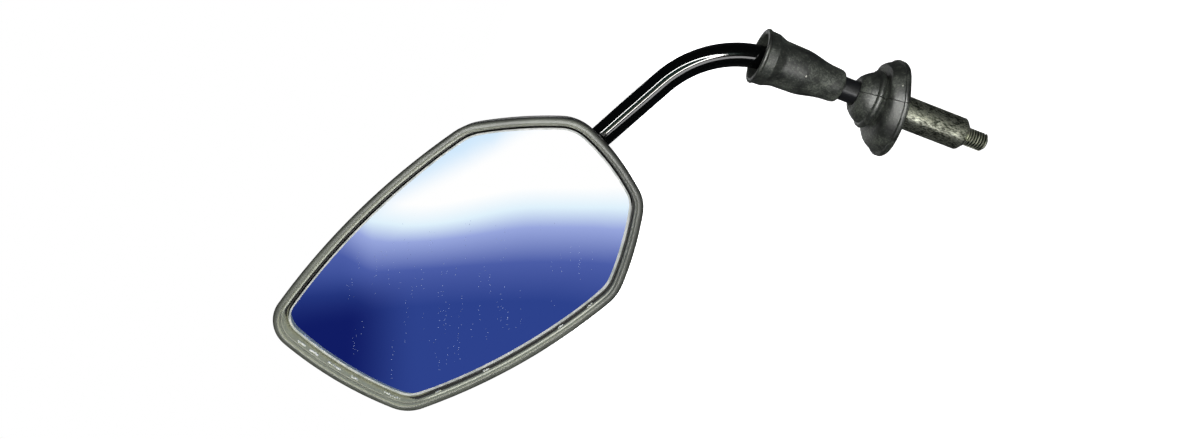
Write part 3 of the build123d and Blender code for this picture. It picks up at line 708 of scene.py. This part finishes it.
# Dried rain dust: pale and matt; its blue patches paint the mirror's reflection showing through it.
lime = mottled("rain dust, dried, with painted reflection", 900.0, 2.0, DUST_BLUE_REFLECTION, DUST_PALE, Roughness=0.9)

# Specks stand in rows of six; a row's place and each speck's shift, size and loss are seeded.
tree, given = geometry_tree(
    "rain_rows", Rows="Int", Spacing="Float", Speck="Float", Turn="Vector", Place="Vector"
)
total = node(tree, "ShaderNodeMath", {0: given["Rows"], 1: ROW_SPECKS}, operation="MULTIPLY")
index = node(tree, "GeometryNodeInputIndex")
sixth = node(tree, "ShaderNodeMath", {0: index, 1: ROW_SPECKS}, operation="DIVIDE")
row = node(tree, "ShaderNodeMath", {0: sixth}, operation="FLOOR")
spot = node(tree, "ShaderNodeMath", {0: index, 1: ROW_SPECKS}, operation="MODULO")
run = node(tree, "ShaderNodeMath", {0: spot, 1: given["Spacing"]}, operation="MULTIPLY")
jog_low, jog_high = (-SPECK_JOG, -SPECK_JOG, 0.0), (SPECK_JOG, SPECK_JOG, 0.0)
jog = {"ID": index, "Seed": 3, 0: jog_low, 1: jog_high}
jog = node(tree, "FunctionNodeRandomValue", jog, data_type="FLOAT_VECTOR")
jogged = node(tree, "ShaderNodeSeparateXYZ", {0: jog})
flat, away = [], []
for (low, high), seed, up, axis, middle in (
    (ROWS_U, 4, UP_U, "X", GLASS_MID_U),
    (ROWS_V, 9, UP_V, "Y", GLASS_MID_V),
):
    start = {"ID": row, "Seed": seed, 2: low, 3: high}
    start = node(tree, "FunctionNodeRandomValue", start, data_type="FLOAT")
    spot = node(tree, "ShaderNodeMath", {0: run, 1: up, 2: start}, operation="MULTIPLY_ADD")
    spot = node(tree, "ShaderNodeMath", {0: spot, 1: jogged.outputs[axis]}, operation="ADD")
    gap = node(tree, "ShaderNodeMath", {0: spot, 1: middle}, operation="SUBTRACT")
    away.append(node(tree, "ShaderNodeMath", {0: gap, 1: 2.0}, operation="POWER"))
    flat.append(spot)
u, v = flat
square = node(tree, "ShaderNodeMath", {0: away[0], 1: away[1]}, operation="ADD")
drop = node(tree, "ShaderNodeMath", {0: square, 1: GLASS_R}, operation="DIVIDE")
level = node(tree, "ShaderNodeMath", {0: drop, 1: -0.5, 2: GLASS_TOP}, operation="MULTIPLY_ADD")
where = node(tree, "ShaderNodeCombineXYZ", {"X": u, "Y": v, "Z": level})
cloud = node(tree, "GeometryNodePoints", {"Count": total, "Position": where})
# Only the lower half of the picture has rows, and they keep clear of the edge.
height = node(tree, "ShaderNodeMath", {0: u, 1: UP_U}, operation="MULTIPLY")
height = node(tree, "ShaderNodeMath", {0: v, 1: UP_V, 2: height}, operation="MULTIPLY_ADD")
high = node(tree, "ShaderNodeMath", {0: height, 1: ROWS_TOP}, operation="GREATER_THAN")
edge = node(tree, "ShaderNodeMath", {0: u, 1: SIDE_SLANT, 2: v}, operation="MULTIPLY_ADD")
beyond = node(tree, "ShaderNodeMath", {0: edge, 1: SIDE_LIMIT}, operation="GREATER_THAN")
end = node(tree, "ShaderNodeMath", {0: v, 1: END_SLANT, 2: u}, operation="MULTIPLY_ADD")
past = node(tree, "ShaderNodeMath", {0: end, 1: END_LIMIT}, operation="GREATER_THAN")
lost = node(tree, "FunctionNodeRandomValue", {"ID": index, "Seed": 12}, data_type="FLOAT")
gone = node(tree, "ShaderNodeMath", {0: lost, 1: SPECK_LOSS}, operation="GREATER_THAN")
off = high
for fault in (beyond, past, gone):
    off = node(tree, "ShaderNodeMath", {0: off, 1: fault}, operation="MAXIMUM")
kept = node(tree, "GeometryNodeDeleteGeometry", {"Geometry": cloud, "Selection": off}, domain="POINT")
crumb = node(tree, "GeometryNodeMeshIcoSphere", {"Radius": given["Speck"], "Subdivisions": 1})
size = {"ID": index, "Seed": 21, 0: SPECK_LEAST, 1: SPECK_MOST}
size = node(tree, "FunctionNodeRandomValue", size, data_type="FLOAT_VECTOR")
sown = node(tree, "GeometryNodeInstanceOnPoints", {"Points": kept, "Instance": crumb, "Scale": size})
laid = {"Geometry": sown, "Translation": given["Place"], "Rotation": given["Turn"]}
close_tree(tree, given, node(tree, "GeometryNodeTransform", laid))

head_turn = Matrix((HEAD_U, HEAD_V, HEAD_N)).transposed().to_euler()
specks = put("rain_specks", bpy.data.meshes.new("rain_specks"))
bake(
    specks, tree, Rows=ROWS, Spacing=ROW_SPACING, Speck=SPECK_R,
    Turn=tuple(head_turn), Place=tuple(HEAD_MID), Material=lime,
)
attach(specks, "head")


# Grit on the lip's wall
# Smears and crumbs of dried polish that stayed on the wall inside the lip.
# They stick in short clusters along the lower end, and here and there along the side next to it.
WALL_INSET = 0.00375
WALL_LEVEL = 0.0214
LIP_ENDS = ((0.1245, -0.0350), (0.1065, 0.0320), (0.0075, 0.0515))
LIP_BOWS = (0.0040, 0.0050)
CLUSTER_POINTS = 5
CRUMB_R = 0.00054
CRUMB_LEAST = (0.6, 0.6, 0.7)
CRUMB_MOST = (1.0, 1.0, 2.2)
CRUMB_SCATTER = 0.0006
GRIT_SEED = 5
POLISH_STAINED = "#c3c5ae"
POLISH_WHITE = "#f8f9f4"

# Dried polish: chalky white crumbs, some stained by road dirt.
polish, tree, shader, place = surface("polish and sand, dried")
stain = node(tree, "ShaderNodeTexNoise", {"Vector": place, "Scale": 420.0, "Detail": 3.0})
spread = node(tree, "ShaderNodeMapRange", {"Value": stain, "From Min": 0.35, "From Max": 0.60})
tint = node(tree, "ShaderNodeMix", {"Factor": spread, 6: POLISH_STAINED, 7: POLISH_WHITE}, **RGBA)
feed(shader, {"Base Color": tint, "Roughness": 0.85})

# Each cluster is a short line; its crumbs are set along it, drawn out down the wall, and strewn by a seed.
tree, given = geometry_tree(
    "grit_clusters", Count="Int", Crumb="Float", Scatter="Float", Turn="Vector", Seed="Int"
)
line = node(tree, "GeometryNodeMeshToCurve", {"Mesh": given["Geometry"]})
along = node(tree, "GeometryNodeCurveToPoints", {"Curve": line, "Count": given["Count"]}, mode="COUNT")
index = node(tree, "GeometryNodeInputIndex")
shift = {"ID": index, "Seed": given["Seed"], 2: -1.0, 3: 1.0}
shift = node(tree, "FunctionNodeRandomValue", shift, data_type="FLOAT")
shift = node(tree, "ShaderNodeMath", {0: shift, 1: given["Scatter"]}, operation="MULTIPLY")
move = node(tree, "ShaderNodeVectorMath", {0: HEAD_N, "Scale": shift}, operation="SCALE")
strewn = node(tree, "GeometryNodeSetPosition", {"Geometry": along, "Offset": move})
crumb = node(tree, "GeometryNodeMeshIcoSphere", {"Radius": given["Crumb"], "Subdivisions": 1})
size = {"ID": index, "Seed": 31, 0: CRUMB_LEAST, 1: CRUMB_MOST}
size = node(tree, "FunctionNodeRandomValue", size, data_type="FLOAT_VECTOR")
spun = node(tree, "FunctionNodeEulerToRotation", {0: given["Turn"]})
sown = {"Points": strewn, "Instance": crumb, "Rotation": spun, "Scale": size}
close_tree(tree, given, node(tree, "GeometryNodeInstanceOnPoints", sown))

for side, (name, count, clusters) in enumerate(
    (
        ("lip_grit_end", 8, ((0.22, 0.27), (0.31, 0.36), (0.44, 0.52), (0.60, 0.64), (0.82, 0.92))),
        ("lip_grit_side", 4, ((0.14, 0.16), (0.36, 0.38), (0.72, 0.74), (0.87, 0.89))),
    )
):
    first, last = Vector(LIP_ENDS[side]), Vector(LIP_ENDS[side + 1])
    chord = last - first
    bow = LIP_BOWS[side]
    reach = (chord.length**2 / 4 + bow**2) / (2 * bow)
    outward = Vector((chord.y, -chord.x)).normalized()
    centre = (first + last) / 2 - outward * (reach - bow)
    points, edges = [], []
    for start, end in clusters:
        for i, share in enumerate(np.linspace(start, end, CLUSTER_POINTS)):
            way = (first + chord * float(share) - centre).normalized()
            flat = centre + way * (reach - WALL_INSET)
            if i:
                edges.append((len(points) - 1, len(points)))
            points.append(HEAD_MID + HEAD_U * flat.x + HEAD_V * flat.y + HEAD_N * WALL_LEVEL)
    grit = put_mesh(name, points, edges, [])
    bake(
        grit, tree, Count=count, Crumb=CRUMB_R, Scatter=CRUMB_SCATTER,
        Turn=tuple(head_turn), Seed=GRIT_SEED + side, Material=polish,
    )
    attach(grit, "head")


# Floor
# White paper under the threaded end, which glows for the camera so that no edge shows against the surround.
# Gloss doesn't see it, so it leaves the stem dark.
FLOOR_HALF = 20.0
FLOOR_GLOW = 0.97
FLOOR_PALE = "#f3f3f3"
WHITE = "#ffffff"

corners = [(x * FLOOR_HALF, y * FLOOR_HALF, STUD_TIP) for x, y in ((-1, -1), (1, -1), (1, 1), (-1, 1))]
floor = put_mesh("floor", corners, [], [(0, 1, 2, 3)])
floor.visible_glossy = False
paper, tree, shader = material("white paper, matt")
rays = node(tree, "ShaderNodeLightPath").outputs
lit = node(tree, "ShaderNodeMath", {0: rays["Is Camera Ray"], 1: FLOOR_GLOW}, operation="MULTIPLY")
feed(shader, {"Base Color": FLOOR_PALE, "Roughness": 1.0, "Specular IOR Level": 0.0})
feed(shader, {"Emission Color": WHITE, "Emission Strength": lit})
coat(floor, paper)
floor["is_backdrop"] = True


# Sky and room
# A dome that only reflections see: a window of sky in front of the glass, and a dark room round the stem.
# Places on it are shares of the way from the head to the dome, taken along the camera's axes.
CAMERA_TURN = Matrix.Rotation(math.radians(13.041), 3, "Z")
CAMERA_TILT = Matrix.Rotation(math.radians(81.0), 3, "X")
CAMERA_ROLL = Matrix.Rotation(math.radians(-70.526), 3, "Z")
CAMERA_AXES = CAMERA_TURN @ CAMERA_TILT @ CAMERA_ROLL
CAMERA_RIGHT, CAMERA_UP, CAMERA_BACK = CAMERA_AXES.col
DOME_R = 3.0
SKY_LOW = -0.58
SKY_HIGH = -0.28
SKY_GAIN = 2.75
SKY_STOPS = (
    (-0.49, "#2d428d"), (-0.43, "#4c5ea8"), (-0.375, "#97a6dd"), (-0.342, "#dff1fc"), (-0.31, "#ffffff"),
)
NAVY = "#101c64"
PALE_SKY = "#d0e8fc"
PALE_SLOPE = -0.5
ARCH_SIDE = 0.19
ARCH_HALF = 0.20
ARCH_RISE = 0.024
DROOP = -0.028
WINDOW_LEFT = (-0.62, -0.48)
WINDOW_RIGHT = (0.26, 0.19)
WINDOW_LOW = (-0.78, -0.66)
WINDOW_HIGH = (-0.12, -0.18)
WINDOW_AHEAD = 0.3
ROOM_DARK = "#222629"
ROOM_TEAL = "#81bfb1"
ROOM_WALL = "#3f4042"


def dome(name, radius, finish):
    """A sphere round the head that only reflections see."""
    bpy.ops.mesh.primitive_uv_sphere_add(segments=64, ring_count=32, radius=radius)
    made = bpy.context.active_object
    made.name = name
    made.data.transform(Matrix.Translation(HEAD_MID))
    for use in ("camera", "diffuse", "transmission", "volume_scatter", "shadow"):
        setattr(made, "visible_" + use, False)
    coat(made, finish)
    return made


def directions(tree, *axes):
    """How far the way from the head to a point of a dome goes along each axis."""
    place = node(tree, "ShaderNodeTexCoord").outputs["Object"]
    offset = node(tree, "ShaderNodeVectorMath", {0: place, 1: HEAD_MID}, operation="SUBTRACT")
    way = node(tree, "ShaderNodeVectorMath", {0: offset}, operation="NORMALIZE")
    return [node(tree, "ShaderNodeVectorMath", {0: way, 1: axis}, operation="DOT_PRODUCT") for axis in axes]


def behind_film(code):
    """The light that has a code's colour after SKY_GAIN has lifted it and the glass has tinted it."""
    return [seen / film / SKY_GAIN for seen, film in zip(colour(code)[:3], colour(MIRROR_TINT))] + [1.0]


def sky_bands(tree, level, low, high, stops):
    """Sky colours from (level, code) stops between a low and a high level."""
    step = node(tree, "ShaderNodeMapRange", {"Value": level, "From Min": low, "From Max": high})
    sky = node(tree, "ShaderNodeValToRGB", {0: step})
    while len(sky.color_ramp.elements) < len(stops):
        sky.color_ramp.elements.new(1.0)
    for stop, (at, code) in zip(sky.color_ramp.elements, stops):
        stop.position = (at - low) / (high - low)
        stop.color = behind_film(code)
    return sky


def sky_window(tree, side, height, ahead):
    """1 inside the window of sky and 0 outside it, with soft edges."""
    window = node(tree, "ShaderNodeMath", {0: ahead, 1: WINDOW_AHEAD}, operation="GREATER_THAN")
    edges = ((side, WINDOW_LEFT), (side, WINDOW_RIGHT), (height, WINDOW_LOW), (height, WINDOW_HIGH))
    for at, (shut, wide) in edges:
        edge = node(tree, "ShaderNodeMapRange", {"Value": at, "From Min": shut, "From Max": wide}, **SMOOTH)
        window = node(tree, "ShaderNodeMath", {0: window, 1: edge}, operation="MULTIPLY")
    return window


room, tree, shader = material("sky and room, for reflections")
tree.nodes.remove(shader)
side, height, ahead, along = directions(tree, CAMERA_RIGHT, CAMERA_UP, CAMERA_BACK, HEAD_U)

# The sky goes from white down to blue, dips in an arch, and darkens to navy at the lower left.
apart = node(tree, "ShaderNodeMath", {0: side, 1: ARCH_SIDE}, operation="ADD")
apart = node(tree, "ShaderNodeMath", {0: apart}, operation="ABSOLUTE")
arch = {"Value": apart, "From Min": ARCH_HALF, "From Max": 0.0, "To Max": ARCH_RISE}
arch = node(tree, "ShaderNodeMapRange", arch, **SMOOTH)
bright = node(tree, "ShaderNodeMapRange", {"Value": height, "From Min": -0.45, "From Max": -0.36})
level = node(tree, "ShaderNodeMath", {0: arch, 1: bright, 2: height}, operation="MULTIPLY_ADD")
droop = {"Value": side, "From Min": -0.26, "From Max": -0.32, "To Max": DROOP}
droop = node(tree, "ShaderNodeMapRange", droop, **SMOOTH)
level = node(tree, "ShaderNodeMath", {0: level, 1: droop}, operation="ADD")
sky = sky_bands(tree, level, SKY_LOW, SKY_HIGH, SKY_STOPS)
leftward = node(tree, "ShaderNodeMapRange", {"Value": side, "From Min": -0.19, "From Max": -0.31}, **SMOOTH)
lower = node(tree, "ShaderNodeMapRange", {"Value": height, "From Min": -0.425, "From Max": -0.505}, **SMOOTH)
corner = node(tree, "ShaderNodeMath", {0: leftward, 1: lower}, operation="MULTIPLY")
deep = node(tree, "ShaderNodeMix", {"Factor": corner, 6: sky, 7: behind_film(NAVY)}, **RGBA)
slope = node(tree, "ShaderNodeMath", {0: side, 1: PALE_SLOPE, 2: height}, operation="MULTIPLY_ADD")
upper = node(tree, "ShaderNodeMapRange", {"Value": slope, "From Min": -0.235, "From Max": -0.185}, **SMOOTH)
pale = node(tree, "ShaderNodeMix", {"Factor": upper, 6: deep, 7: behind_film(PALE_SKY)}, **RGBA)
sky_light = node(tree, "ShaderNodeVectorMath", {0: pale, "Scale": SKY_GAIN}, operation="SCALE")

# The room is dark round the stem, dim behind, with a teal glow beside the camera.
apart = node(tree, "ShaderNodeMath", {0: along}, operation="ABSOLUTE")
wall = node(tree, "ShaderNodeMapRange", {"Value": apart, "From Min": 0.18, "From Max": 0.40}, **SMOOTH)
behind = node(tree, "ShaderNodeMapRange", {"Value": ahead, "From Min": -0.1, "From Max": -0.4}, **SMOOTH)
wall = node(tree, "ShaderNodeMath", {0: wall, 1: behind}, operation="MULTIPLY")
glow = node(tree, "ShaderNodeMapRange", {"Value": ahead, "From Min": 0.945, "From Max": 0.975}, **SMOOTH)
shown = node(tree, "ShaderNodeMix", {"Factor": wall, 6: ROOM_DARK, 7: ROOM_WALL}, **RGBA)
shown = node(tree, "ShaderNodeMix", {"Factor": glow, 6: shown, 7: ROOM_TEAL}, **RGBA)
window = sky_window(tree, side, height, ahead)
shown = node(tree, "ShaderNodeMix", {"Factor": window, 6: shown, 7: sky_light}, **RGBA)
lamp_light = node(tree, "ShaderNodeEmission", {"Color": shown, "Strength": 1.0})
feed(tree.nodes["Material Output"], {"Surface": lamp_light})
near_dome = dome("reflection_dome", DOME_R, room)
near_dome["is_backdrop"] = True


# Far sky
# A second dome that the glass alone sees, with more sky beyond the window.
# It shows when the glass is looked at from elsewhere or turned.
FAR_DOME_R = 2.7
FAR_STOPS = (
    (-1.0, "#8f9fd2"), (-0.74, "#5268b0"), (-0.50, "#2d428d"), (-0.38, "#97a6dd"),
    (-0.20, "#e6f1fc"), (0.15, "#c3d8f6"), (0.60, "#7b9ade"), (1.0, "#4c66b2"),
)


def clear_light(tree, tint, strength):
    """Light from a surface that lets every ray through, so that it hides nothing behind it."""
    glow = node(tree, "ShaderNodeEmission", {"Color": tint, "Strength": strength})
    both = node(tree, "ShaderNodeAddShader", {0: glow, 1: node(tree, "ShaderNodeBsdfTransparent")})
    feed(tree.nodes["Material Output"], {"Surface": both})


far_sky, tree, shader = material("far sky, for the glass")
tree.nodes.remove(shader)
side, height, ahead = directions(tree, CAMERA_RIGHT, CAMERA_UP, CAMERA_BACK)
window = sky_window(tree, side, height, ahead)
beyond = node(tree, "ShaderNodeMapRange", {"Value": window, "To Min": SKY_GAIN, "To Max": 0.0})
clear_light(tree, sky_bands(tree, height, -1.0, 1.0, FAR_STOPS), beyond)
far_dome = dome("far_sky_dome", FAR_DOME_R, far_sky)
glass_only = bpy.data.collections.new("shown the far sky")
glass_only.objects.link(nodes["glass"])
far_dome.light_linking.receiver_collection = glass_only
far_dome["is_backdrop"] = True


# Surround
# White wherever the camera, a reflection or a clear ray meets it.
# As a light it is dim, so that the lamps shape the object.
SURROUND_LIGHT = 0.06

world = bpy.data.worlds.new("white surround")
bpy.context.scene.world = world
world.use_nodes = True
tree = world.node_tree
rays = node(tree, "ShaderNodeLightPath").outputs
seen = rays["Is Camera Ray"]
for ray in ("Is Glossy Ray", "Is Transmission Ray"):
    seen = node(tree, "ShaderNodeMath", {0: seen, 1: rays[ray]}, operation="MAXIMUM")
strength = node(tree, "ShaderNodeMapRange", {"Value": seen, "To Min": SURROUND_LIGHT, "To Max": 1.0})
feed(tree.nodes["Background"], {"Color": WHITE, "Strength": strength})


# Ring lamp
# A ring round the camera that draws the long sharp lines on the enamel.
# Only reflections see it, and the mirror leaves it out because it shows the sky instead.
CAMERA_AIM = Vector((-0.08645, -0.00725, 0.13458))
CAMERA_FAR = 0.450
CAMERA_PLACE = CAMERA_AIM + CAMERA_BACK * CAMERA_FAR
RING_R = 0.166
RING_W = 0.030
RING_LEFT = 0.036
RING_ABOVE = 0.030
RING_STEPS = 96
RING_STRENGTH = 72.0
RING_WHITE = "#fffffc"

points, faces = [], []
centre = CAMERA_PLACE - CAMERA_RIGHT * RING_LEFT + CAMERA_UP * RING_ABOVE
for i in range(RING_STEPS):
    turn = 2.0 * math.pi * i / RING_STEPS
    spoke = CAMERA_RIGHT * math.cos(turn) + CAMERA_UP * math.sin(turn)
    points += [centre + spoke * (RING_R - RING_W / 2), centre + spoke * (RING_R + RING_W / 2)]
    j = (i + 1) % RING_STEPS
    faces.append((2 * i, 2 * i + 1, 2 * j + 1, 2 * j))
ring = put_mesh("ring_lamp", points, [], faces)
ring.visible_camera = False
ring.visible_diffuse = False
ring.visible_shadow = False
tube, tree, shader = material("lamp, clear when unlit")
tree.nodes.remove(shader)
clear_light(tree, RING_WHITE, RING_STRENGTH)
coat(ring, tube)
left_out = bpy.data.collections.new("left out of the lamps' gloss")
left_out.objects.link(nodes["glass"])
left_out.collection_objects[0].light_linking.link_state = "EXCLUDE"
ring.light_linking.receiver_collection = left_out
ring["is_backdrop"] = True


# Lamps
# Two wide lamps light the object from the camera and from behind, and gloss doesn't show them.
# Two boxes show in gloss alone, and the mirror leaves them out too.
OBJECT_MID = Vector((-0.06, 0.0, 0.13))
MOUNT_MID = Vector((0.0, 0.0, 0.08))
MOUNT_WAY = (CAMERA_RIGHT * 0.26 - CAMERA_UP * 0.53 + CAMERA_BACK * 0.80).normalized()
BACK_WAY = Vector((-0.18, 0.93, 0.32)).normalized()

for name, aim, way, far, width, power, glossy in (
    ("key", OBJECT_MID, CAMERA_BACK, 0.80, 0.30, 4.4, False),
    ("back_fill", OBJECT_MID, BACK_WAY, 0.90, 0.50, 5.0, False),
    ("soft_box", MOUNT_MID, MOUNT_WAY, 0.70, 0.20, 0.90, True),
    ("back_box", OBJECT_MID, BACK_WAY, 0.90, 0.60, 4.0, True),
):
    lamp = bpy.data.lights.new(name, "AREA")
    lamp.shape = "SQUARE"
    lamp.size = width
    lamp.energy = power
    box = put(name, lamp)
    box.matrix_world = Matrix.Translation(aim + way * far) @ way.to_track_quat("Z", "Y").to_matrix().to_4x4()
    box.visible_camera = False
    box.visible_glossy = glossy
    box.visible_diffuse = not glossy
    if glossy:
        box.light_linking.receiver_collection = left_out
    box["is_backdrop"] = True


# Camera
# It stands in front of the head and is rolled, so that the mirror lies across the picture as in the photo.
# Colours leave it without a film look.
CAMERA_LENS = 32.16
SENSOR_WIDTH = 36.0

lens = bpy.data.cameras.new("camera")
lens.sensor_width = SENSOR_WIDTH
lens.sensor_fit = "HORIZONTAL"
lens.lens = CAMERA_LENS
lens.clip_start = 0.01
lens.clip_end = 100.0
camera = put("camera", lens)
camera.matrix_world = Matrix.Translation(CAMERA_PLACE) @ CAMERA_AXES.to_4x4()
bpy.context.scene.camera = camera
bpy.context.scene.view_settings.view_transform = "Standard"

low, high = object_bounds()
